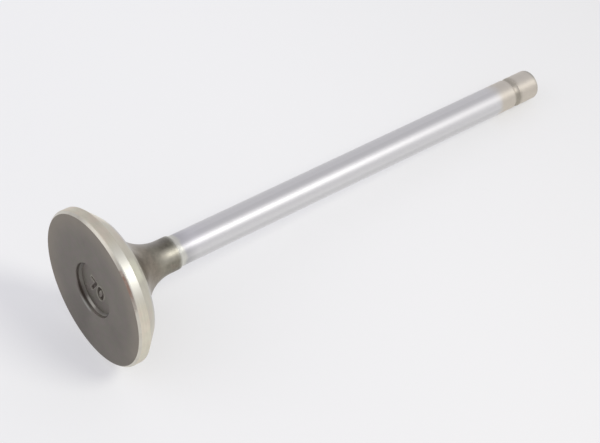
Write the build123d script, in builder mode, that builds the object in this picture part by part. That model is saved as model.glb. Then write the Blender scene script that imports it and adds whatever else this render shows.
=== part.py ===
from build123d import *
import os
from math import radians, tan

# Engine poppet valve, one solid: upset and forged, then turned and ground all over its working faces.
# It stands on its head. The origin is the centre of the flat head face and +Z runs up the stem
# to the tip. Lengths are in millimetres and angles in degrees.

# Head: flat face, broken edge, straight margin and the conical seat that closes the port
head_d = 40.0
edge_break = 0.62
edge_break_height = 0.70
margin_height = 2.14
seat_angle = 45.0
seat_width = 3.65
seat_relief = 0.30

# Recess struck into the face by the forging punch
recess_d = 14.2
recess_depth = 1.30
recess_wall_angle = 62.0
recess_floor_round = 0.80
recess_rim_round = 0.20

# Underhead: shallow cone off the seat, swept into the neck by one large fillet
underhead_angle = 28.3
neck_fillet = 12.0
neck_step = 0.35
neck_land = 2.60
shoulder_angle = 24.0

# Stem, keeper groove and tip
stem_d = 8.0
overall_length = 142.0
groove_to_tip = 8.0
groove_width = 1.80
groove_depth = 0.45
tip_land_break = 0.70

# Radii and heights of the half section, worked upwards from the face
head_r = head_d / 2
face_r = head_r - edge_break
margin_top = edge_break_height + margin_height
seat_r = head_r - seat_width
seat_top = margin_top + seat_width * tan(radians(seat_angle))
relief_r = seat_r - seat_relief

recess_r = recess_d / 2
recess_floor_r = recess_r - recess_depth / tan(radians(recess_wall_angle))

stem_r = stem_d / 2
neck_r = stem_r + neck_step
underhead_top = seat_top + (relief_r - neck_r) * tan(radians(underhead_angle))
fillet_run = neck_fillet * tan(radians(90 - underhead_angle) / 2)
shoulder_start = underhead_top + fillet_run + neck_land
shoulder_end = shoulder_start + neck_step / tan(radians(shoulder_angle))

groove_mid = overall_length - groove_to_tip
groove_start = groove_mid - groove_width / 2
groove_end = groove_mid + groove_width / 2
tip_break_start = overall_length - tip_land_break

with BuildPart() as valve:
    # The half section lies in the XZ plane, with radius along X and height along Z
    with BuildSketch(Plane.XZ):
        with BuildLine():
            FilletPolyline(
                (0, recess_depth),
                (recess_floor_r, recess_depth),
                (recess_r, 0),
                (face_r, 0),
                radius=(recess_floor_round, recess_rim_round),
            )
            Polyline(
                (face_r, 0),
                (head_r, edge_break_height),
                (head_r, margin_top),
                (seat_r, seat_top),
                (relief_r, seat_top),
            )
            FilletPolyline(
                (relief_r, seat_top),
                (neck_r, underhead_top),
                (neck_r, shoulder_start),
                radius=neck_fillet,
            )
            Polyline(
                (neck_r, shoulder_start),
                (stem_r, shoulder_end),
                (stem_r, groove_start),
            )
            ThreePointArc(
                (stem_r, groove_start),
                (stem_r - groove_depth, groove_mid),
                (stem_r, groove_end),
            )
            Polyline(
                (stem_r, groove_end),
                (stem_r, tip_break_start),
                (stem_r - tip_land_break, overall_length),
                (0, overall_length),
                (0, recess_depth),
            )
        make_face()
    revolve(axis=Axis.Z)

valve.part.label = "valve"

os.makedirs("parts", exist_ok=True)
export_step(valve.part, "parts/valve.step")

print("seat top", round(seat_top, 3), "shoulder", round(shoulder_start, 3), round(shoulder_end, 3))
print("running stem", round(shoulder_end, 3), "to", round(groove_start, 3))
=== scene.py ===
# %% [markdown]
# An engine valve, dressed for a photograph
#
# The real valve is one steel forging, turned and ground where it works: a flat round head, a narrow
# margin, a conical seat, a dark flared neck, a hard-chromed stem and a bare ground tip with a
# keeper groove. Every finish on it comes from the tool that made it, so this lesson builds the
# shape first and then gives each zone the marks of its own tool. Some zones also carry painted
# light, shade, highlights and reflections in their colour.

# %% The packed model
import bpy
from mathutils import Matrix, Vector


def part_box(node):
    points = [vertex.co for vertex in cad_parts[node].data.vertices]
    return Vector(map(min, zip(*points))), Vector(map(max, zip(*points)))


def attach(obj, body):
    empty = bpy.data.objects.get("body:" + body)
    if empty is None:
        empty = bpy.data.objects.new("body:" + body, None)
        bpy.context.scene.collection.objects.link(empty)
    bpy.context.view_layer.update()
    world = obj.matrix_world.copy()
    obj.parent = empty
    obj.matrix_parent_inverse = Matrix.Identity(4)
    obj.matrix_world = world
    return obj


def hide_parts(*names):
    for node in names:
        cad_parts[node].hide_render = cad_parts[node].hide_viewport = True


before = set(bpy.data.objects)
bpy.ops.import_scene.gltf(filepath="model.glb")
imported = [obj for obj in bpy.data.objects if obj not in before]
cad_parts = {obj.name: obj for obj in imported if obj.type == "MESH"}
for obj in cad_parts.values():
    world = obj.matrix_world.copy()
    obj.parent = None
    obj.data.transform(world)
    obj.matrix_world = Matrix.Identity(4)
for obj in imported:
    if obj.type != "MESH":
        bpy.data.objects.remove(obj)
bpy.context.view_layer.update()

from collections import namedtuple
from math import acos, asin, atan, atan2, cos, degrees, hypot, pi, radians, sin, tan

import bpy
import numpy as np
from mathutils import Matrix, Vector

# %% [markdown]
# The half section is drawn in millimetres, with radius across and height up the stem, because that
# is how a drawing of a valve is dimensioned. The head's radius and the overall length are read from
# the frame, so the dressed valve is exactly as large as the solid one.

# %% Sizes of the half section, in millimetres
MM = 0.001

lowest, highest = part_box("valve")
HEAD_R = round(highest.y / MM, 2)
LENGTH = round(highest.z / MM, 2)

FACE_R = HEAD_R - 0.62
BREAK_TOP = 0.70
MARGIN_TOP = BREAK_TOP + 2.14
SEAT_R = HEAD_R - 3.65
SEAT_TOP = MARGIN_TOP + (HEAD_R - SEAT_R)
RELIEF_R = SEAT_R - 0.30

RECESS_R = 7.10
RECESS_DEPTH = 1.30
RECESS_FLOOR_R = RECESS_R - RECESS_DEPTH / tan(radians(62))
FLOOR_STEP = 0.09
FLOOR_STEP_WIDTH = 0.03
SHOULDER_Z = 0.76
LIP_WIDTH = 0.17

STEM_R = 4.0
NECK_STEP = 0.35
NECK_R = STEM_R + NECK_STEP
NECK_FILLET = 12.0
NECK_LAND = 2.60
UNDERHEAD_ANGLE = radians(28.3)
UNDERHEAD_TOP = SEAT_TOP + (RELIEF_R - NECK_R) * tan(UNDERHEAD_ANGLE)
FILLET_TOP = UNDERHEAD_TOP + NECK_FILLET * tan((pi / 2 - UNDERHEAD_ANGLE) / 2)
NECK_TOP = FILLET_TOP + NECK_LAND
STEM_START = NECK_TOP + NECK_STEP / tan(radians(24))

GROOVE_MID = LENGTH - 8.0
GROOVE_HALF = 0.90
GROOVE_DEPTH = 0.45
TIP_BREAK = 0.70

print("head radius", HEAD_R, "length", LENGTH, "stem from", round(STEM_START, 2))

# %% [markdown]
# A sharp corner on a computed surface never catches the light, but every corner on a real valve has
# a small round that does. So each corner of the half section carries its own radius, and one
# function turns corners into straight runs and tangent arcs. The same function makes the hair-fine
# rounds of the recess, the worn lower corner of the margin and the 12 mm sweep of the neck. It
# returns the exact normals as well, which keeps the long flat runs free of false shading.
#
# The keeper groove has a round bottom. Its half width and its depth fix the ball that fits it, and
# its flanks leave the stem as tangents of that ball.

# %% The half section, corner by corner
Corner = namedtuple("Corner", "r z round steps finish")

GROOVE_BALL = (GROOVE_HALF ** 2 + GROOVE_DEPTH ** 2) / (2 * GROOVE_DEPTH)
GROOVE_FLANK = GROOVE_HALF * tan(asin(GROOVE_HALF / GROOVE_BALL))
MARGIN_ROUND = 0.55
GROUND_STEP_ROUND = 0.70
TIP_ROUND = 1.05

HALF_SECTION = [
    Corner(0.0, RECESS_DEPTH, 0, 0, "face"),
    Corner(RECESS_FLOOR_R, RECESS_DEPTH, 0.06, 4, "face"),
    Corner(RECESS_FLOOR_R + FLOOR_STEP_WIDTH, RECESS_DEPTH - FLOOR_STEP, 0.05, 4, "face"),
    Corner(RECESS_R - LIP_WIDTH, SHOULDER_Z, 0.16, 6, "face"),
    Corner(RECESS_R, 0.0, 0.22, 8, "face"),
    Corner(FACE_R, 0.0, 0.05, 3, "break"),
    Corner(HEAD_R, BREAK_TOP, MARGIN_ROUND, 8, "ground"),
    Corner(HEAD_R, MARGIN_TOP, 0.10, 4, "ground"),
    Corner(SEAT_R, SEAT_TOP, 0.08, 4, "neck"),
    Corner(RELIEF_R, SEAT_TOP, 0.12, 4, "neck"),
    Corner(NECK_R, UNDERHEAD_TOP, NECK_FILLET, 36, "neck"),
    Corner(NECK_R, NECK_TOP, GROUND_STEP_ROUND, 4, "stem"),
    Corner(STEM_R, STEM_START, GROUND_STEP_ROUND, 4, "stem"),
    Corner(STEM_R, GROOVE_MID - GROOVE_HALF, 0.05, 3, "stem"),
    Corner(STEM_R - GROOVE_FLANK, GROOVE_MID, 0.92 * GROOVE_BALL, 12, "stem"),
    Corner(STEM_R, GROOVE_MID + GROOVE_HALF, 0.05, 3, "stem"),
    Corner(STEM_R, LENGTH - TIP_BREAK, TIP_ROUND, 5, "stem"),
    Corner(STEM_R - TIP_BREAK, LENGTH, TIP_ROUND, 5, "stem"),
    Corner(0.0, LENGTH, 0, 0, "stem"),
]
FINISHES = ("face", "break", "ground", "neck", "stem")


def tangent_arc(before, corner, after):
    """The arc that rounds one corner: it leaves each run at round * tan(half the turn) from the
    corner, and its points are the centre plus the radius times a direction that turns evenly."""
    came = np.array([corner.r - before.r, corner.z - before.z])
    goes = np.array([after.r - corner.r, after.z - corner.z])
    came, goes = came / np.hypot(*came), goes / np.hypot(*goes)
    turn = atan2(came[0] * goes[1] - came[1] * goes[0], came @ goes)
    start = np.array([corner.r, corner.z]) - came * corner.round * tan(abs(turn) / 2)
    outward = np.array([came[1], -came[0]])
    centre = start - outward * corner.round * np.sign(turn)
    bend = np.linspace(0, turn, corner.steps + 1)
    across = np.cos(bend) * outward[0] - np.sin(bend) * outward[1]
    along = np.sin(bend) * outward[0] + np.cos(bend) * outward[1]
    reach = corner.round * np.sign(turn)
    points = np.stack([centre[0] + reach * across, centre[1] + reach * along], axis=1)
    return points, np.stack([across, along], axis=1)


# %% [markdown]
# The rings of the whole section are the arcs, one after another, because the straight runs between
# them need no points of their own. Only the floor of the recess does: it gets many rings, since the
# struck mark has to stand out of them.

# %% The rings of the section
FLOOR_RINGS = 64


def half_section(corners, floor_rings):
    """Rings from the recess floor's centre to the tip's centre: radius, height, outward normal, and
    the finish of the band that leads on from each ring."""
    last = len(corners) - 1
    arcs = [tangent_arc(*corners[i - 1:i + 2]) for i in range(1, last)]
    floor = np.linspace(0, arcs[0][0][0, 0], floor_rings + 1)[:-1]
    points = [np.stack([floor, np.full(floor.size, corners[0].z)], axis=1)]
    normals = [np.tile([0.0, -1.0], (floor.size, 1))]
    finish = [np.full(floor.size, FINISHES.index(corners[0].finish))]
    for corner, (arc, facing) in zip(corners[1:last], arcs):
        points.append(arc)
        normals.append(facing)
        finish.append(np.full(len(arc), FINISHES.index(corner.finish)))
    points.append([[0.0, corners[last].z]])
    normals.append([[0.0, 1.0]])
    finish.append([FINISHES.index(corners[last].finish)])
    return np.vstack(points), np.vstack(normals), np.concatenate(finish)


section, section_normals, section_finish = half_section(HALF_SECTION, FLOOR_RINGS)
print("rings in the half section:", len(section))

# %% [markdown]
# Inside the recess the forging carries a small struck mark. A stamp pushes metal down along its
# strokes and raises a low burr beside them, so the mark is a height worked out from the distance to
# the nearest stroke. Two plain digits stand there. A digit is drawn once, in units of its own half
# width and half height, and then placed and scaled on the floor.

# %% The strokes of the mark
MARK_HEIGHT = 3.3
MARK_WIDTH = 1.9
MARK_PITCH = 3.0
MARK_CENTRE = np.array([0.12, 0.15])
MARK_RIGHT = np.array([0.984, 0.178])
MARK_UP = np.array([0.178, -0.984])
OVAL_PIECES = 28


def seven():
    """Two straight strokes: along the top, then down to the left."""
    return np.array([[-1.0, 1.0], [1.0, 1.0], [-0.3, -1.0]])


def nought():
    """A closed oval: the cosine and the sine of one full turn."""
    turn = np.linspace(0, 2 * pi, OVAL_PIECES + 1)
    return np.stack([np.cos(turn), np.sin(turn)], axis=1)


def stroke_distance(x, y, stroke):
    """The distance from each point to the nearest straight piece of a stroke: the point's share
    along the piece is kept between 0 and 1, and the gap is measured to the place at that share."""
    best = np.full(x.shape, np.inf)
    for start, end in zip(stroke[:-1], stroke[1:]):
        run = end - start
        share = ((x - start[0]) * run[0] + (y - start[1]) * run[1]) / (run @ run)
        share = np.clip(share, 0, 1)
        gap = np.hypot(x - start[0] - share * run[0], y - start[1] - share * run[1])
        best = np.minimum(best, gap)
    return best


def mark_gap(x, y):
    """The distance from each point of the recess floor to the middle of the nearest stroke."""
    right = (x - MARK_CENTRE[0]) * MARK_RIGHT[0] + (y - MARK_CENTRE[1]) * MARK_RIGHT[1]
    up = (x - MARK_CENTRE[0]) * MARK_UP[0] + (y - MARK_CENTRE[1]) * MARK_UP[1]
    half = np.array([MARK_WIDTH, MARK_HEIGHT]) / 2
    gap = np.full(x.shape, np.inf)
    for place, digit in ((-0.5, seven()), (0.5, nought())):
        stroke = digit * half + np.array([place * MARK_PITCH, 0.0])
        gap = np.minimum(gap, stroke_distance(right, up, stroke))
    return gap


middle_gap = mark_gap(np.array([0.0]), np.array([0.0]))[0]
print("from the floor's centre to the nearest stroke:", round(float(middle_gap), 2), "mm")

# %% [markdown]
# A stroke is a channel with a flat bottom and steep sides, as the edge of a stamp leaves it. A bell
# curve of the fourth power has just that section, and a common bell curve beside it is the burr.

# %% The depth of the mark
STROKE_HALF = 0.32
STROKE_DEPTH = 0.42
BURR_HEIGHT = 0.12


def mark_channel(gap):
    """1 in the middle of a stroke and 0 outside it: e to minus the fourth power of the distance in
    half strokes."""
    return np.exp(-(gap / STROKE_HALF) ** 4)


def mark_burr(gap):
    """1 on the crest of the burr, 1.9 half strokes from the middle, and 0 away from it: e to minus
    the square of the distance from the crest in 0.6 half strokes."""
    return np.exp(-((gap - 1.9 * STROKE_HALF) / (0.6 * STROKE_HALF)) ** 2)


def mark_height(x, y):
    """How far the struck mark sinks into the recess floor, in millimetres: the channel's depth less
    the burr's height."""
    gap = mark_gap(x, y)
    return STROKE_DEPTH * mark_channel(gap) - BURR_HEIGHT * mark_burr(gap)


print("the mark is", STROKE_DEPTH, "mm deep and its burr", BURR_HEIGHT, "mm high")

# %% [markdown]
# Turning the half section about the stem's axis gives the whole surface: ring number one way, angle
# the other. Modelling by hand would spin a curve, but the struck mark has to sink into the floor as
# well, and a computed surface can add it to the height before the mesh is made.

# %% Turning the half section
SEGMENTS = 448
MARK_REACH = 4.6
SLOPE_STEP = 0.02


def turned(points, normals, segments):
    """x = r cos a, y = r sin a, z = height, with the mark's height added on the recess floor. The
    normal of the marked floor is the slope of that height, worked out from small steps."""
    angle = np.linspace(0, 2 * pi, segments, endpoint=False)
    ring_r, ring_z = points[:, :1], points[:, 1:]
    x = ring_r * np.cos(angle)
    y = ring_r * np.sin(angle)
    z = ring_z + np.zeros_like(x)
    nx = normals[:, :1] * np.cos(angle)
    ny = normals[:, :1] * np.sin(angle)
    nz = normals[:, 1:] + np.zeros_like(x)
    marked = (ring_z[:, 0] == RECESS_DEPTH) & (ring_r[:, 0] < MARK_REACH)
    mx, my, step = x[marked], y[marked], SLOPE_STEP
    z[marked] += mark_height(mx, my)
    nx[marked] = (mark_height(mx + step, my) - mark_height(mx - step, my)) / (2 * step)
    ny[marked] = (mark_height(mx, my + step) - mark_height(mx, my - step)) / (2 * step)
    size = np.sqrt(nx ** 2 + ny ** 2 + nz ** 2)
    return np.stack([x, y, z], axis=2) * MM, np.stack([nx, ny, nz], axis=2) / size[..., None]


place, facing = turned(section, section_normals, SEGMENTS)
print("points on the surface:", place.shape[0] * place.shape[1])

# %% [markdown]
# The grid becomes one closed mesh. Both ends of the section lie on the axis, so each closes on one
# shared point, and the last column of faces joins the first, which leaves no seam. The mesh also
# carries two values at each point, for the soot and painted shade in the strokes of the mark and
# for the burr beside them, because only the mesh knows where the strokes run.

# %% The valve's mesh
FAR_FROM_MARK = 9.0


def turned_mesh(name, place, facing, finish):
    """One closed mesh: a point, rings of quads that face outwards, and a point."""
    inner, segments = place.shape[0] - 2, place.shape[1]
    verts = np.vstack([place[0, :1], place[1:-1].reshape(-1, 3), place[-1, :1]])
    vert_normals = np.vstack([facing[0, :1], facing[1:-1].reshape(-1, 3), facing[-1, :1]])
    ring = 1 + np.arange(inner * segments).reshape(inner, segments)
    following = np.roll(ring, -1, axis=1)
    quads = np.stack([ring[:-1], following[:-1], following[1:], ring[1:]], axis=2).reshape(-1, 4)
    first = np.stack([np.zeros(segments, int), following[0], ring[0]], axis=1)
    final = np.stack([np.full(segments, len(verts) - 1), ring[-1], following[-1]], axis=1)
    mesh = bpy.data.meshes.new(name)
    mesh.from_pydata(verts, [], first.tolist() + quads.tolist() + final.tolist())
    dark_reflections = np.repeat(finish[:-1], segments)
    mesh.polygons.foreach_set("material_index", dark_reflections.astype(np.int32))
    mesh.polygons.foreach_set("use_smooth", np.ones(len(mesh.polygons), bool))
    mesh.normals_split_custom_set_from_vertices(vert_normals)
    return mesh


def mark_attributes(mesh):
    """Each point's share of soot and painted shade, and of burr; both are 0 away from the recess.
    """
    place = np.empty(3 * len(mesh.vertices))
    mesh.vertices.foreach_get("co", place)
    x, y, z = place.reshape(-1, 3).T / MM
    gap = np.where(z < 2 * RECESS_DEPTH, mark_gap(x, y), FAR_FROM_MARK)
    for attribute, amount in (("soot", mark_channel(gap)), ("burr", mark_burr(gap))):
        made = mesh.attributes.new(attribute, "FLOAT", "POINT")
        made.data.foreach_set("value", amount.astype(np.float32))


valve_mesh = turned_mesh("valve_dressed", place, facing, section_finish)
mark_attributes(valve_mesh)
valve_mesh.validate()
valve_mesh.update()
valve = bpy.data.objects.new("valve_dressed", valve_mesh)
bpy.context.scene.collection.objects.link(valve)
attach(valve, "root")
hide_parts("valve")
print("triangles:", sum(len(p.vertices) - 2 for p in valve_mesh.polygons))

# %% [markdown]
# A finish reads best as a formula, such as 0.3 + 0.1 * stain. So one small class wraps a shader
# socket and adds a Math node for each sign. Two more sums come up again and again: a soft rise from
# 0 to 1, and a soft bump round one place. Numbers alone stay in Python.

# %% Shader sums
class Wire:
    """A shader value that can stand in a sum."""

    def __init__(self, finish, socket):
        self.finish = finish
        self.socket = socket

    def math(self, operation, *values):
        return self.finish.node("ShaderNodeMath", {"operation": operation}, list(values))

    def __add__(self, other):
        return self.math("ADD", self, other)

    def __sub__(self, other):
        return self.math("SUBTRACT", self, other)

    def __mul__(self, other):
        return self.math("MULTIPLY", self, other)

    def __truediv__(self, other):
        return self.math("DIVIDE", self, other)

    def __rsub__(self, other):
        return self.math("SUBTRACT", other, self)

    def __pow__(self, other):
        return self.math("POWER", self, other)

    __radd__ = __add__
    __rmul__ = __mul__

    def ramp(self, low, high):
        """0 below low, 1 above high, and an even smooth rise between them."""
        settings = {"interpolation_type": "SMOOTHSTEP"}
        return self.finish.node("ShaderNodeMapRange", settings, {0: self, 1: low, 2: high})

    def bump_at(self, middle, width):
        """1 at the middle and 0 from width away on either side."""
        away = self.math("ABSOLUTE", self - middle)
        return 1 - away.ramp(0, width)


# %% [markdown]
# Every finish on the valve asks the same things: where on the valve am I, how far from the axis,
# and on which side? So one class holds a material, answers those from the object's own coordinates
# in millimetres, and has one method that adds any node. The object's own coordinates stay with the
# metal when the camera moves, which a window or reflection coordinate wouldn't.

# %% One procedural material
NEAR_AXIS = 0.001


class Finish:
    """A material with its nodes, the place on the object, and the metal shader."""

    def __init__(self, name):
        self.material = bpy.data.materials.new(name)
        self.material.use_nodes = True
        self.tree = self.material.node_tree
        self.tree.nodes.clear()
        coords = self.node("ShaderNodeTexCoord", output="Object")
        self.place = self.shaded(coords, 1 / MM)
        parts = self.node("ShaderNodeSeparateXYZ", inputs=[self.place])
        self.x, self.y, self.z = (Wire(self, parts.socket.node.outputs[i]) for i in range(3))
        self.out = (self.x * self.x + self.y * self.y) ** 0.5

    def node(self, kind, settings=(), inputs=(), output=0):
        """Adds a node, makes its settings, fills its inputs with values or wires, and returns one
        of its outputs."""
        made = self.tree.nodes.new(kind)
        for name, value in dict(settings).items():
            setattr(made, name, value)
        filled = dict(enumerate(inputs)) if isinstance(inputs, list) else dict(inputs)
        for key, value in filled.items():
            if isinstance(value, Wire):
                self.tree.links.new(value.socket, made.inputs[key])
            else:
                made.inputs[key].default_value = value
        return Wire(self, made.outputs[output])

    def facing(self, around):
        """The cosine of the angle, seen along the axis, between here and one side of the valve,
        which is given in degrees round from x: 1 on that side, 0 a quarter turn away."""
        towards = cos(radians(around)) * self.x + sin(radians(around)) * self.y
        return towards / (self.out + NEAR_AXIS)

    def painted(self, name):
        """A value that the mesh carries at each point."""
        settings = {"attribute_type": "GEOMETRY", "attribute_name": name}
        return self.node("ShaderNodeAttribute", settings, output="Fac")

    def times(self, colour, factors):
        """A colour or a place with each of its three parts multiplied by its own factor."""
        return self.node("ShaderNodeVectorMath", {"operation": "MULTIPLY"}, [colour, factors])

    def shaded(self, colour, amount):
        """A colour made lighter or darker, or a place scaled, by one amount."""
        values = {0: colour, "Scale": amount}
        return self.node("ShaderNodeVectorMath", {"operation": "SCALE"}, values)

    def noise(self, scale, detail=3.0, rough=0.5, stretch=(1, 1, 1)):
        """Soft clouds about 1 / scale millimetres wide; a stretch below 1 draws them out."""
        place = self.place if stretch == (1, 1, 1) else self.times(self.place, stretch)
        values = {"Vector": place, "Scale": scale, "Detail": detail, "Roughness": rough}
        return self.node("ShaderNodeTexNoise", inputs=values)

    def blend(self, share, first, second):
        """A colour that goes from first to second as share goes from 0 to 1."""
        settings = {"data_type": "RGBA"}
        colours = [c if isinstance(c, Wire) else (*c, 1.0) for c in (first, second)]
        values = {0: share, 6: colours[0], 7: colours[1]}
        return self.node("ShaderNodeMix", settings, values, output=2)

    def bump(self, height, distance, strength=0.5):
        """A surface normal from a height between 0 and 1 that spans distance, in millimetres."""
        values = {"Strength": strength, "Distance": distance * MM, "Height": height}
        return self.node("ShaderNodeBump", inputs=values)

    def metal(self, colour, roughness, normal=None, metallic=1.0, anisotropic=0.0):
        """The metal shader. Grinding leaves its lines round the valve and spreads light along it,
        which is what the quarter turn of the anisotropy says."""
        values = {
            "Base Color": colour,
            "Roughness": roughness,
            "Metallic": metallic,
            "Anisotropic": anisotropic,
            "Anisotropic Rotation": 0.25,
        }
        if normal is not None:
            values["Normal"] = normal
        return self.finished(self.node("ShaderNodeBsdfPrincipled", inputs=values))

    def finished(self, shader):
        """Sends a shader to the material's output, and returns the material."""
        out = self.tree.nodes.new("ShaderNodeOutputMaterial")
        self.tree.links.new(shader.socket, out.inputs["Surface"])
        return self.material


print("a finish can:", [name for name in vars(Finish) if not name.startswith("_")])

# %% [markdown]
# The head face keeps the dull grey skin of heat treatment. It is nearly one tone, a little warm,
# with faint clouds and a fine grain, and it shines softly rather than sharply. Its colour also
# carries painted light that grows towards the rim and painted shade on one side, where the face
# mirrors the lit and the shadowed table. Two tones that differ by a hair and three noises of
# different size are enough. More contrast would look like rust.

# %% Skin of the face
FACE_SHADE_SIDE = 80
RIM_LIGHT_START, RIM_LIGHT_FULL = 12.0, 19.2
FACE_WARM = (0.224, 0.197, 0.180)
FACE_OLIVE = (0.213, 0.201, 0.170)
FACE_LIT_RIM = (0.220, 0.196, 0.165)


def face_colour(skin, tint, grain):
    """Warm and olive patches, times painted light towards the rim and painted shade on one side."""
    clouds = skin.noise(0.16, detail=4.0, rough=0.55)
    colour = skin.blend(tint.ramp(0.35, 0.65), FACE_WARM, FACE_OLIVE)
    # painted shade on one side and painted light towards the rim
    shaded_side = skin.facing(FACE_SHADE_SIDE).ramp(0.35, 1.0)
    painted_rim_light = skin.out.ramp(RIM_LIGHT_START, RIM_LIGHT_FULL) ** 1.5 * (1 - shaded_side)
    colour = skin.blend(painted_rim_light, colour, FACE_LIT_RIM)
    light = 0.74 + 0.24 * painted_rim_light - 0.12 * shaded_side + 0.23 * clouds + 0.15 * grain
    return skin.shaded(colour, light)


print("the face grows lighter from", RIM_LIGHT_START, "to", RIM_LIGHT_FULL, "mm out")

# %% [markdown]
# The punch that struck the recess smoothed the shoulder below its wall, so the shoulder is a
# little glossier. Its colour is darkened by painted shade and has a painted highlight on one side,
# and the lip above it has a painted highlight on the same side. A third of a turn on, the wall is
# painted lighter to lift its shade. The cosine of the angle to a side tells how far round a point
# is, and a ramp that starts near 1 keeps each patch short.

# %% Painted highlights and shade of the recess
RECESS_HIGHLIGHT_SIDE = 107
SHOULDER_SHADE = (0.15, 0.14, 0.125)
SHOULDER_HIGHLIGHT = (0.30, 0.29, 0.26)
LIP_HIGHLIGHT = (0.37, 0.37, 0.34)
WALL_MID = 0.45
WALL_REACH = 0.7


def recess_shoulder(skin):
    """1 on the shoulder halfway down the wall, and 0 on the wall and the floor."""
    ring = skin.out.bump_at(RECESS_FLOOR_R + 0.25, 0.6)
    return ring * skin.z.ramp(0.6, 0.9) * (1 - skin.z.ramp(1.2, 1.3))


def recess_highlights_and_shade(skin, colour, shoulder):
    """Shoulder: painted shade and highlight; lip: painted highlight; wall: painted light."""
    # painted shade on the shoulder, with a painted highlight on one side of it and of the lip
    highlight_side = skin.facing(RECESS_HIGHLIGHT_SIDE).ramp(0.945, 0.995)
    colour = skin.blend(shoulder, colour, skin.blend(highlight_side, SHOULDER_SHADE, SHOULDER_HIGHLIGHT))
    lip = skin.out.bump_at(RECESS_R + 0.50, 0.80)
    lip = lip * skin.facing(RECESS_HIGHLIGHT_SIDE + 5).ramp(0.92, 1.0)
    colour = skin.blend(0.9 * lip, colour, LIP_HIGHLIGHT)
    # painted light that lifts the shade on this part of the wall
    wall_painted_light = skin.facing(RECESS_HIGHLIGHT_SIDE - 37).ramp(0.80, 1.0)
    return skin.shaded(colour, 1.0 + 0.7 * wall_painted_light * skin.z.bump_at(WALL_MID, WALL_REACH))


print("the recess shines on the side at", RECESS_HIGHLIGHT_SIDE, "degrees")

# %% [markdown]
# Soot and painted shade darken the strokes of the mark and the wall of the recess, thickest on
# one side, where they even creep over the lip. The burr beside the strokes is the opposite. It
# stands proud, so every wipe polishes it, and it carries a painted highlight as well.

# %% Soot and painted shade in the recess, and the dark face
RECESS_SOOT_AND_SHADE_SIDE = 144
SOOT_AND_SHADE = (0.042, 0.028, 0.020)
BURR_POLISH_AND_HIGHLIGHT = (0.38, 0.36, 0.31)


def recess_soot(skin, tint):
    """Soot and painted shade: the strokes where the tint is dark, the wall more than the lip."""
    sooty_side = skin.facing(RECESS_SOOT_AND_SHADE_SIDE).ramp(0.55, 1.0)
    thick = skin.facing(RECESS_SOOT_AND_SHADE_SIDE - 8).ramp(0.91, 1.0)
    wall = skin.z.bump_at(WALL_MID, 0.45 + 0.40 * thick) * skin.z.ramp(0.0, 0.2)
    wall = wall * skin.out.ramp(RECESS_FLOOR_R - 0.3 * thick, RECESS_R)
    lip = skin.out.bump_at(RECESS_R + 0.25, 0.5) * (1 - skin.z.ramp(0.1, 0.4))
    # soot and painted shade in the strokes and on the wall, darkest on one side
    strokes = skin.painted("soot") * (0.25 + 0.6 * tint.ramp(0.3, 0.6))
    return strokes + wall * (0.08 + 0.62 * sooty_side + 0.10 * thick) + 0.5 * thick * lip


def dark_face():
    """The skin, the recess's painted light, soot and shade, and the burr's painted highlight."""
    skin = Finish("heat_treated_face")
    tint = skin.noise(0.55, detail=2.0)
    grain = skin.noise(3.2, rough=0.6)
    shoulder = recess_shoulder(skin)
    colour = recess_highlights_and_shade(skin, face_colour(skin, tint, grain), shoulder)
    colour = skin.blend(recess_soot(skin, tint), colour, SOOT_AND_SHADE)
    # polish and a painted highlight on the burr
    polish_and_highlight = skin.painted("burr") * (0.2 + 0.5 * tint.ramp(0.4, 0.6))
    colour = skin.blend(polish_and_highlight, colour, BURR_POLISH_AND_HIGHLIGHT)
    rough = 0.46 + 0.10 * grain - 0.2 * shoulder
    return skin.metal(colour, rough, skin.bump(grain, 0.015), metallic=0.9)


valve_mesh.materials.append(dark_face())
print("face nodes:", len(valve_mesh.materials[-1].node_tree.nodes))

# %% [markdown]
# The edge break is cut by one pass of a tool, so it is bright. On one side a brown stain from heat
# covers it. The stain is strong where it starts and thins out round the head in flecks, so its
# share is the cosine to one side with two noises added: that makes a ragged end instead of a
# straight one.

# %% Edge break
STAIN_SIDE = -40
# the side of the turned surfaces where the lamps' highlight lies; painted highlights sit on it
HIGHLIGHT_SIDE = -52
BREAK_BRIGHT = (0.66, 0.63, 0.55)
BREAK_SPOT = (0.60, 0.565, 0.485)
STAIN_BROWN = (0.37, 0.25, 0.195)
STAIN_THIN = (0.385, 0.325, 0.28)


def edge_break():
    """Bright steel with faint spots and painted shade, and the stain, which covers less towards the
    margin.
    """
    cut = Finish("edge_break")
    spots = cut.noise(0.35, detail=4.0, rough=0.6)
    flecks = cut.noise(1.3, rough=0.6)
    bright = cut.blend(spots.ramp(0.45, 0.7), BREAK_BRIGHT, BREAK_SPOT)
    # painted shade on the break, deepest far from the highlight side
    bright = cut.shaded(bright, 0.91 + 0.09 * cut.facing(HIGHLIGHT_SIDE).ramp(0.1, 0.6))
    near = cut.facing(STAIN_SIDE) + (spots - 0.5) * 0.06 + (flecks - 0.5) * 0.05
    fading = cut.facing(STAIN_SIDE + 14).ramp(0.970, 1.0)
    stained = near.ramp(0.955, 0.990) * (0.90 - 0.35 * fading + 0.9 * (flecks - 0.5))
    low_edge = 1 - 0.35 * cut.z.ramp(0.25, 0.62)
    stain = cut.blend(fading, STAIN_BROWN, STAIN_THIN)
    colour = cut.blend(stained * low_edge, bright, stain)
    return cut.metal(colour, 0.32, anisotropic=0.4)


valve_mesh.materials.append(edge_break())
print("edge break nodes:", len(valve_mesh.materials[-1].node_tree.nodes))

# %% [markdown]
# The margin and the seat are ground, with fine lines that run round the head. A noise gives those
# lines when it is squeezed along the axis and stretched round it. The margin is pale, and on the
# highlight's side a painted highlight makes it paler and less yellow; one side has a little painted
# light and another painted shade.

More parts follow.
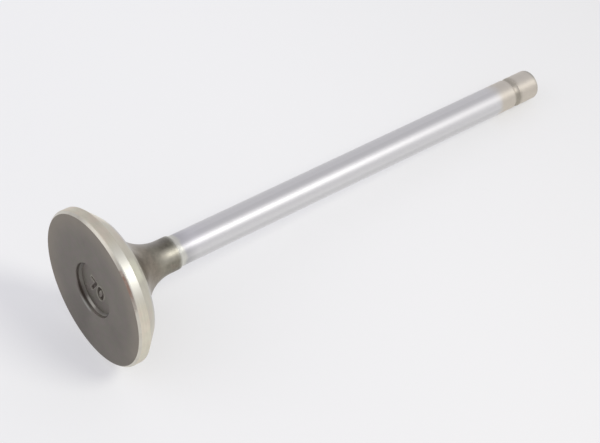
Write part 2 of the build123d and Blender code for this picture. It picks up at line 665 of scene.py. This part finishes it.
# %% Ground margin
MARGIN_DARK = (0.62, 0.58, 0.485)
MARGIN_PALE = (0.78, 0.735, 0.62)
MARGIN_HIGHLIGHT = (0.74, 0.725, 0.67)


def margin_colour(ground, tone, painted_highlight):
    """Grinding lines from dark to pale, the painted highlight, painted light on one side, painted
    shade on another.
    """
    margin = ground.blend(tone, MARGIN_DARK, MARGIN_PALE)
    # a painted highlight on the highlight side
    margin = ground.blend(0.8 * painted_highlight, margin, MARGIN_HIGHLIGHT)
    # painted light on one side and painted shade on another
    margin_painted_light = ground.facing(HIGHLIGHT_SIDE + 35).ramp(0.85, 1.0)
    margin_painted_shade = ground.facing(HIGHLIGHT_SIDE - 108).ramp(0.975, 1.0)
    return ground.shaded(margin, 1.0 + 0.06 * margin_painted_light - 0.16 * margin_painted_shade)


print("the margin is ground from", BREAK_TOP, "to", round(MARGIN_TOP, 2), "mm")

# %% [markdown]
# The seat was lapped into its ring in the engine, so it is a shade duller than the margin. A short
# streak near the margin is a painted highlight, nearly white, painted light brightens one side over
# its whole width and a little the parts far from the highlight, and the edge towards the underhead
# is greyer. The colour of both zones drifts from faintly green to faintly pink, as ground steel
# does after it has been hot.

# %% Ground margin and seat
SEAT_DARK = (0.57, 0.535, 0.445)
SEAT_PALE = (0.70, 0.66, 0.555)
SEAT_GREY = (0.66, 0.65, 0.635)
SEAT_HIGHLIGHT = (0.98, 0.96, 0.78)
GREENISH = (0.985, 1.0, 0.99)
PINKISH = (1.02, 0.985, 0.985)


def seat_colour(ground, tone, painted_highlight):
    """Lapping lines, the grey upper edge, the painted highlight streak, and the painted light of
    each side.
    """
    seat = ground.blend(tone, SEAT_DARK, SEAT_PALE)
    upper_edge = ground.z.ramp(SEAT_TOP - 1.0, SEAT_TOP - 0.2)
    seat = ground.blend(upper_edge * (1 - painted_highlight), seat, SEAT_GREY)
    # a painted highlight streak near the margin
    highlight_streak = ground.facing(HIGHLIGHT_SIDE).ramp(0.983, 1.0)
    highlight_streak = highlight_streak * (1 - ground.z.ramp(SEAT_TOP - 1.4, SEAT_TOP - 0.4))
    seat = ground.blend(0.8 * highlight_streak, seat, SEAT_HIGHLIGHT)
    # painted light on one side and away from the highlight
    seat_painted_light = ground.facing(HIGHLIGHT_SIDE - 64).ramp(0.92, 1.0)
    far_from_highlight = 1 - ground.facing(HIGHLIGHT_SIDE).ramp(0.6, 0.8)
    return ground.shaded(seat, 0.92 + 0.36 * seat_painted_light + 0.08 * far_from_highlight)


def ground_head():
    """The margin below the seat's edge and the seat above it, smoother on the seat."""
    ground = Finish("ground_margin_and_seat")
    lines = ground.noise(1.0, rough=0.65, stretch=(0.05, 0.05, 4.0))
    drift = ground.noise(0.30, stretch=(1.0, 1.0, 2.0))
    tone = (0.5 * lines + 0.5 * drift).ramp(0.15, 0.85)
    painted_highlight = ground.facing(HIGHLIGHT_SIDE).ramp(0.90, 1.0)
    on_seat = ground.z.ramp(MARGIN_TOP - 0.05, MARGIN_TOP + 0.05)
    margin, seat = margin_colour(ground, tone, painted_highlight), seat_colour(ground, tone, painted_highlight)
    colour = ground.blend(on_seat, margin, seat)
    warmth = ground.noise(0.22, detail=2.0).ramp(0.4, 0.62) * (1 - painted_highlight)
    colour = ground.times(colour, ground.blend(warmth, GREENISH, PINKISH))
    rough = 0.44 + 0.12 * lines - 0.14 * ground.z.ramp(MARGIN_TOP, MARGIN_TOP + 0.1)
    return ground.metal(colour, rough, ground.bump(lines, 0.012), anisotropic=0.4)


valve_mesh.materials.append(ground_head())
print("ground head nodes:", len(valve_mesh.materials[-1].node_tree.nodes))

# %% [markdown]
# The underhead and neck keep the skin of the forging, browner than the face. Combustion has burnt
# on it unevenly, brown in patches. Just before the ground stem the grinding wheel ran out into the
# skin, so the edge between the two is ragged. The neck and the stem share one mask for that edge,
# and so it stays one edge where they meet.

# %% Skin of the neck
WHEEL_START, WHEEL_FULL = 21.5, 23.1
NECK_PATCHES = (14.0, 17.5)
NECK_END = (16.5, 21.5)
OLIVE_DARK, OLIVE_PALE = (0.228, 0.216, 0.172), (0.30, 0.287, 0.232)
BROWN_DARK, BROWN_PALE = (0.235, 0.205, 0.165), (0.30, 0.265, 0.215)


def ground_clean(finish):
    """0 on the skin of the forging and 1 on the ground stem, with a ragged edge between them."""
    ragged = (finish.noise(0.9, rough=0.6) - 0.5) * 0.8
    return (finish.z + ragged).ramp(WHEEL_START, WHEEL_FULL)


def neck_colour(forged):
    """Olive skin, with brown below the patches' height and in burnt spots of one side."""
    clouds = forged.noise(0.28, detail=4.0, rough=0.6)
    burnt = forged.noise(0.30, rough=0.55, stretch=(1.0, 1.0, 0.6)).ramp(0.50, 0.64)
    olive = forged.blend(clouds, OLIVE_DARK, OLIVE_PALE)
    brown = forged.blend(clouds, BROWN_DARK, BROWN_PALE)
    browned = forged.facing(HIGHLIGHT_SIDE + 55).ramp(0.3, 1.0)
    patches = 0.8 * (1 - forged.z.ramp(*NECK_PATCHES)) + burnt * (0.3 + 0.6 * browned)
    return forged.blend(patches + 0.25 * browned, olive, brown)


print("the grinding wheel ran out between", WHEEL_START, "and", WHEEL_FULL, "mm")

# %% [markdown]
# On top of that colour: brighter under the head, darker towards the stem, painted shade on one
# side, a painted highlight along the side of the lamps' highlight, and a pale painted sheen on the
# two flanks beside it.

# %% Forged neck
NECK_HIGHLIGHT = (0.40, 0.385, 0.335)
NECK_SHEEN = (0.44, 0.41, 0.385)
NECK_CLEAN = (0.60, 0.60, 0.54)


def forged_neck():
    """The neck's colour times its light and painted shade, then the painted highlight, the painted
    sheen and the wheel's run-out.
    """
    forged = Finish("forged_neck")
    z = forged.z
    grain = forged.noise(3.5, rough=0.6)
    under = forged.out.ramp(5.5, 11.0)
    # a painted highlight where the lamps' highlight lies, and painted shade on one side
    painted_highlight = forged.facing(HIGHLIGHT_SIDE + 4).ramp(0.86, 1.0) * z.ramp(15.0, 19.0)
    neck_shaded_side = forged.facing(HIGHLIGHT_SIDE - 42).ramp(0.75, 1.0) * z.ramp(15.0, 18.0)
    mottle = forged.noise(0.8, rough=0.6).ramp(0.30, 0.70)
    light = 0.93 + 0.25 * under - 0.18 * z.ramp(*NECK_END) + 0.40 * painted_highlight
    colour = forged.shaded(neck_colour(forged), light - 0.20 * neck_shaded_side + 0.22 * mottle)
    colour = forged.blend(0.5 * painted_highlight, colour, NECK_HIGHLIGHT)
    # a pale painted sheen on the two flanks
    upper_sheen = forged.facing(HIGHLIGHT_SIDE - 90).ramp(0.5, 0.95) * (1 - 0.5 * z.ramp(18.5, 21.0))
    lower_sheen = forged.facing(HIGHLIGHT_SIDE + 90).ramp(0.5, 0.95) * forged.out.ramp(5.0, 8.0)
    colour = forged.blend(0.62 * upper_sheen + 0.28 * lower_sheen, colour, NECK_SHEEN)
    run_out = ground_clean(forged) * (0.8 - 0.35 * painted_highlight)
    colour = forged.blend(run_out, colour, NECK_CLEAN)
    rough = 0.40 + 0.06 * grain - 0.10 * under
    return forged.metal(colour, rough, forged.bump(grain, 0.004))


valve_mesh.materials.append(forged_neck())
print("neck nodes:", len(valve_mesh.materials[-1].node_tree.nodes))

# %% [markdown]
# Hard chrome is plated on the stem, a few microns thick, and then ground. It is a cool grey, and it
# starts thin near the neck, so it is duller at first, with painted shade on the lower side there.
# Near the neck its upper side carries a painted lilac reflection of the sky, and two long faint
# bands along it are painted dark reflections beside the highlight.

# %% Hard chrome
CHROME_START = 24.0
CHROME_END = 127.8
CHROME_DARK, CHROME_PALE = (0.735, 0.73, 0.73), (0.775, 0.77, 0.77)
CHROME_LILAC_REFLECTION = (0.738, 0.730, 0.752)


def chrome_colour(stem, lines):
    """Grinding lines, a painted lilac reflection near the neck, less light where it is thin,
    painted shade and dark painted reflections.
    """
    chrome = stem.blend(lines, CHROME_DARK, CHROME_PALE)
    # a painted lilac reflection on the upper side near the neck
    lilac_reflection = stem.facing(HIGHLIGHT_SIDE - 35).ramp(0.3, 1.0) * (1 - stem.z.ramp(26.0, 36.0))
    chrome = stem.blend(lilac_reflection, chrome, CHROME_LILAC_REFLECTION)
    # painted shade on the lower side where the chrome is thin
    lower_side_shade = stem.facing(HIGHLIGHT_SIDE + 60).ramp(0.3, 1.0)
    thin = 1 - stem.z.ramp(CHROME_START - 0.5, CHROME_START + 4.5)
    # two painted dark reflections along the stem beside the highlight
    upper_dark_reflection = stem.facing(HIGHLIGHT_SIDE - 26).ramp(0.972, 1.0) * stem.z.ramp(24.0, 31.0)
    lower_dark_reflection = stem.facing(HIGHLIGHT_SIDE + 55).ramp(0.965, 1.0)
    dark_reflections = 0.08 * upper_dark_reflection + 0.09 * lower_dark_reflection
    return stem.shaded(chrome, 1 - thin * (0.20 + 0.07 * lower_side_shade) - dark_reflections)


print("chrome from", CHROME_START, "to", CHROME_END, "mm")

# %% [markdown]
# The plating stops short of the keeper groove, so the tip is bare ground steel, warmer and a little
# darker than chrome. The end of the tip carries a painted dark reflection of its rounded edge. The
# bottom of the groove keeps some of the oil's brown, with a painted highlight on the highlight's
# line, where there is least, and painted shade beside it.

# %% Bare tip and keeper groove
TIP_START = LENGTH - TIP_BREAK
STEEL_DARK, STEEL_PALE = (0.64, 0.595, 0.52), (0.74, 0.69, 0.61)
STEEL_FAR = (0.76, 0.735, 0.69)
TIP_DARK_REFLECTION = (0.42, 0.42, 0.37)


def steel_colour(stem, lines, far_side):
    """Grinding lines, paler on the far side, and a painted dark reflection at the end."""
    steel = stem.blend(lines, STEEL_DARK, STEEL_PALE)
    steel = stem.blend(0.35 * far_side, steel, STEEL_FAR)
    # a painted dark reflection on the rounded end, more on the far side
    end = stem.z.ramp(TIP_START - 1.0, TIP_START + 0.3) * (0.3 + 0.6 * far_side)
    return stem.blend(end, steel, TIP_DARK_REFLECTION)


def groove_oil_and_shade(stem):
    """The share of oil and painted shade in the groove: less on the highlight's line, more beside
    it.
    """
    # a painted highlight on the highlight's line and painted shade beside it
    painted_highlight = stem.facing(HIGHLIGHT_SIDE).ramp(0.93, 1.0)
    shade_beside = stem.facing(HIGHLIGHT_SIDE + 27).ramp(0.88, 1.0)
    return stem.z.bump_at(GROOVE_MID + 0.35, 1.7) * (0.46 - 0.32 * painted_highlight + 0.08 * shade_beside)


print("bare tip from", CHROME_END, "to", LENGTH, "mm, groove at", GROOVE_MID)

# %% [markdown]
# One material dresses the stem from the ground step to the tip, because its zones fade into each
# other: a pale ground band, the chrome, and the bare steel. The masks are heights with a slow noise
# added, since no bath and no wheel ends on a perfect line. The far side's tint fades out where the
# round of the stem turns into the flat end face, or it would lie on that face as a wedge.

# %% Chromed stem and bare tip
BAND_DARK, BAND_PALE = (0.67, 0.665, 0.61), (0.74, 0.735, 0.675)
BAND_HIGHLIGHT = (0.98, 0.98, 0.90)
OIL_AND_SHADE_BROWN = (0.27, 0.25, 0.20)
STEM_SKIN = (0.25, 0.24, 0.205)
END_FACE_R, ROUND_FULL_R = 2.7, 3.5


def chromed_stem():
    """Skin, pale band with its painted highlight, chrome and bare steel in the order of their
    heights, then the oil and its painted light and shade.
    """
    stem = Finish("chromed_stem")
    z = stem.z
    lines = stem.noise(1.0, rough=0.6, stretch=(0.10, 0.10, 5.0))
    wander = (stem.noise(0.30) - 0.5) * 2.4
    round_part = stem.out.ramp(END_FACE_R, ROUND_FULL_R)
    far_side = stem.facing(HIGHLIGHT_SIDE - 60).ramp(0.2, 1.0) * round_part
    fade = 1.2 + 1.2 * far_side
    bare = (z + wander).ramp(CHROME_END - fade, CHROME_END + fade)
    pale = 1 - (z + wander).ramp(CHROME_START - 0.6, CHROME_START + 0.6)
    # a painted highlight on the pale band, where the neck's highlight runs into it
    band_highlight = stem.facing(HIGHLIGHT_SIDE).ramp(0.955, 1.0) * z.bump_at(NECK_TOP + 0.35, 0.75)
    band = stem.blend(band_highlight, stem.blend(lines, BAND_DARK, BAND_PALE), BAND_HIGHLIGHT)
    colour = stem.blend(bare, chrome_colour(stem, lines), steel_colour(stem, lines, far_side))
    colour = stem.blend(pale, colour, band)
    colour = stem.blend(groove_oil_and_shade(stem), colour, OIL_AND_SHADE_BROWN)
    colour = stem.blend(ground_clean(stem), STEM_SKIN, colour)
    rough = 0.49 + 0.06 * lines + 0.10 * z.ramp(60, 130)
    return stem.metal(colour, rough, stem.bump(lines, 0.004, strength=0.4), anisotropic=0.48)


valve_mesh.materials.append(chromed_stem())
print("finishes:", [m.name for m in valve_mesh.materials])

# %% [markdown]
# The CAD valve stands on its head, and in the photograph it lies on a white table. The valve may
# not move, so the table does: it is a pale plane that touches the head's rim and the tip's rim, and
# the camera is turned with it. Four measured values fix the camera: the focal length in pixels, the
# pixel of the face's centre, its distance, and how the stem points away and up across the picture.
#
# In the camera's own frame x runs right, y down and z ahead. The stem sinks towards its tip by the
# table's slope, and that fixes how steeply the camera looks down. The three directions of the
# valve, seen in that frame, are the rows of the matrix that turns the frame into the valve's own.

# %% Camera measured from the photograph
IMAGE_WIDTH = 600
IMAGE_HEIGHT = 443
FOCAL_PX = 1673.0
FACE_CENTRE_PX = (92.2, 290.6)
FACE_DISTANCE = 0.3901
STEM_AWAY = radians(60.70)
STEM_RISE = radians(25.89)
SENSOR_MM = 36.0
CLIP_START = 0.01

stem_line = Vector((
    sin(STEM_AWAY) * cos(STEM_RISE),
    -sin(STEM_AWAY) * sin(STEM_RISE),
    cos(STEM_AWAY),
))
table_slope = atan((HEAD_R - STEM_R) / (LENGTH - TIP_BREAK - MARGIN_TOP))
lean = hypot(stem_line.y, stem_line.z)
look_down = acos(-sin(table_slope) / lean) - atan2(stem_line.z, -stem_line.y)
table_up = Vector((0.0, -cos(look_down), -sin(look_down)))

across_stem = -(table_up + sin(table_slope) * stem_line) / cos(table_slope)
to_valve = Matrix((across_stem.cross(stem_line), across_stem, stem_line))
face_centre = Vector((
    (FACE_CENTRE_PX[0] - IMAGE_WIDTH / 2) / FOCAL_PX,
    (FACE_CENTRE_PX[1] - IMAGE_HEIGHT / 2) / FOCAL_PX,
    1.0,
)) * FACE_DISTANCE

camera_data = bpy.data.cameras.new("camera")
camera_data.sensor_width = SENSOR_MM
camera_data.lens = FOCAL_PX * SENSOR_MM / IMAGE_WIDTH
camera_data.clip_start = CLIP_START
camera = bpy.data.objects.new("camera", camera_data)
bpy.context.scene.collection.objects.link(camera)
blender_axes = Matrix(((1, 0, 0), (0, -1, 0), (0, 0, -1)))
turned_camera = to_valve @ blender_axes
camera.matrix_world = Matrix.Translation(to_valve @ -face_centre) @ turned_camera.to_4x4()
bpy.context.scene.camera = camera
print("camera looks down", round(degrees(look_down), 1), "degrees; table slope",
      round(degrees(table_slope), 2))

# %% [markdown]
# A white table is hard to render plainly: lit until it looks white, it throws so much light back
# that the metal washes out. So it is a matt white paint that is part paint and part glow. The glow
# is seen by the camera and in the metal but lights nothing, which leaves the object's shadow half
# as deep, as on a table with light from all round. The paint under the glow is a shade darker and
# bluer than the white that shows, and that is the light which the underside of the valve gets.

# %% White for the table and the floor
WHITE = (0.885, 0.885, 0.895)
WARM_WHITE = (0.885, 0.87, 0.855)
PAINT_UNDER_WHITE = (0.88, 0.88, 0.925)
GLOW_SHARE = 0.47
GLOW_OVER_WHITE = 1.017
NEAR_RIGHT = 118
WARM_FROM, WARM_TO = -60, 420
FAR_RIGHT = 55
FAR_FROM, FAR_TO = 60, 240
FAR_SHADE = 0.10

camera_right = Vector((1, 0, 0))
camera_ahead = -camera_right.cross(table_up)


def toward(around, above):
    """A direction over the table: around runs clockwise from straight ahead of the camera, and
    above is its height over the table, both in degrees."""
    a, e = radians(around), radians(above)
    level = camera_ahead * cos(a) + camera_right * sin(a)
    return to_valve @ (level * cos(e) + table_up * sin(e))


def distance_along(white, direction):
    """How far a place lies along a direction, in millimetres: the dot product of the two."""
    return white.x * direction.x + white.y * direction.y + white.z * direction.z


def one_sided_white(name):
    """Paint and glow, both warmer to the near right and dimmer to the far right. The surface is
    there from its front only, so it never hides or shades what stands behind it."""
    white = Finish(name)
    warm = distance_along(white, toward(NEAR_RIGHT, 0)).ramp(WARM_FROM, WARM_TO)
    far = distance_along(white, toward(FAR_RIGHT, 0)).ramp(FAR_FROM, FAR_TO)
    colour = white.shaded(white.blend(warm, WHITE, WARM_WHITE), 1 - FAR_SHADE * far)
    dull = white.times(colour, PAINT_UNDER_WHITE)
    paint = white.node("ShaderNodeBsdfDiffuse", inputs={"Color": dull})
    shown = white.shaded(colour, GLOW_OVER_WHITE)
    glow = white.node("ShaderNodeEmission", inputs={"Color": shown})
    clear = white.node("ShaderNodeBsdfTransparent")
    behind = white.node("ShaderNodeNewGeometry", output="Backfacing")
    seen = white.node("ShaderNodeLightPath", output="Is Camera Ray")
    mirrored = white.node("ShaderNodeLightPath", output="Is Glossy Ray")
    glowing = GLOW_SHARE * (seen + mirrored)
    front = white.node("ShaderNodeMixShader", inputs=[glowing, paint, glow])
    return white.finished(white.node("ShaderNodeMixShader", inputs=[behind, front, clear]))


print("straight ahead of the camera is", [round(v, 2) for v in toward(0, 0)])

# %% [markdown] The table is one square, far larger than the picture, a hair's breadth below the rim
# that rests on it.

# %% The table
TABLE_SIZE = 4.0
TABLE_GAP = 0.00003


def flat_plane(name, middle, across, along):
    """A square round its middle: the middle plus or minus half the size each way."""
    half = TABLE_SIZE / 2
    corners = [middle + across * sx * half + along * sy * half
               for sx, sy in ((-1, -1), (1, -1), (1, 1), (-1, 1))]
    mesh = bpy.data.meshes.new(name)
    mesh.from_pydata(corners, [], [(0, 1, 2, 3)])
    mesh.materials.append(one_sided_white(name + "_white"))
    made = bpy.data.objects.new(name, mesh)
    bpy.context.scene.collection.objects.link(made)
    return made


up = to_valve @ table_up
rim_contact = Vector((0.0, HEAD_R * MM, MARGIN_TOP * MM)) - up * TABLE_GAP
table_along = (Vector((0, 0, 1)) - up * up.z).normalized()
table = flat_plane("table", rim_contact, table_along.cross(up), table_along)
print("table faces", [round(v, 3) for v in table.data.polygons[0].normal])

# %% [markdown]
# In the other views the valve stands on its head, so it gets a floor of its own, which only the
# camera sees and only from above. The metal and the light don't know it, and so it changes nothing
# in the main view.

# %% The floor of the standing views
floor = flat_plane("floor", Vector((0, 0, -TABLE_GAP)), Vector((1, 0, 0)), Vector((0, 1, 0)))
for ray in ("diffuse", "glossy", "transmission", "shadow"):
    setattr(floor, "visible_" + ray, False)
print("floor faces", list(floor.data.polygons[0].normal))

# %% [markdown]
# The light is plain and soft: an even pale sky, a large lamp at the camera's left that fills the
# shadows, and a key lamp at the near right, high over the table. A key lamp does two jobs, it
# lights the valve and it is mirrored in it, and each wants its own colour and strength here. So the
# key lights but isn't seen in the metal, and a glint of half its power from nearly the same place
# is seen in the metal but lights nothing. Its reflection is the long line down the stem.

# %% World and lamps
SKY = (0.645, 0.638, 0.672)
LAMP_DISTANCE = 1.5

world = bpy.data.worlds.new("studio")
bpy.context.scene.world = world
world.use_nodes = True
world.node_tree.nodes["Background"].inputs["Color"].default_value = (*SKY, 1.0)


def soft_lamp(name, around, above, size, power, colour=(1, 1, 1)):
    """A round lamp that faces the middle of the valve from LAMP_DISTANCE away."""
    lamp_data = bpy.data.lights.new(name, "AREA")
    lamp_data.shape = "DISK"
    lamp_data.size = size
    lamp_data.energy = power
    lamp_data.color = colour
    lamp = bpy.data.objects.new(name, lamp_data)
    bpy.context.scene.collection.objects.link(lamp)
    direction = toward(around, above)
    lamp.location = Vector((0, 0, LENGTH * MM / 2)) + direction * LAMP_DISTANCE
    lamp.rotation_mode = "QUATERNION"
    lamp.rotation_quaternion = direction.to_track_quat("Z", "Y")
    return lamp


key = soft_lamp("key", 108.5, 49, 0.52, 12.4, (1.0, 1.0, 0.84))
key.visible_glossy = False
glint = soft_lamp("glint", 112, 44.3, 0.57, 6.2, (1.0, 0.995, 0.965))
glint.visible_diffuse = False
side = soft_lamp("side", 262, 36, 1.40, 2.42)

bpy.context.scene.view_settings.view_transform = "Standard"
print("lamps:", [lamp.name for lamp in (key, glint, side)])

# %% [markdown]
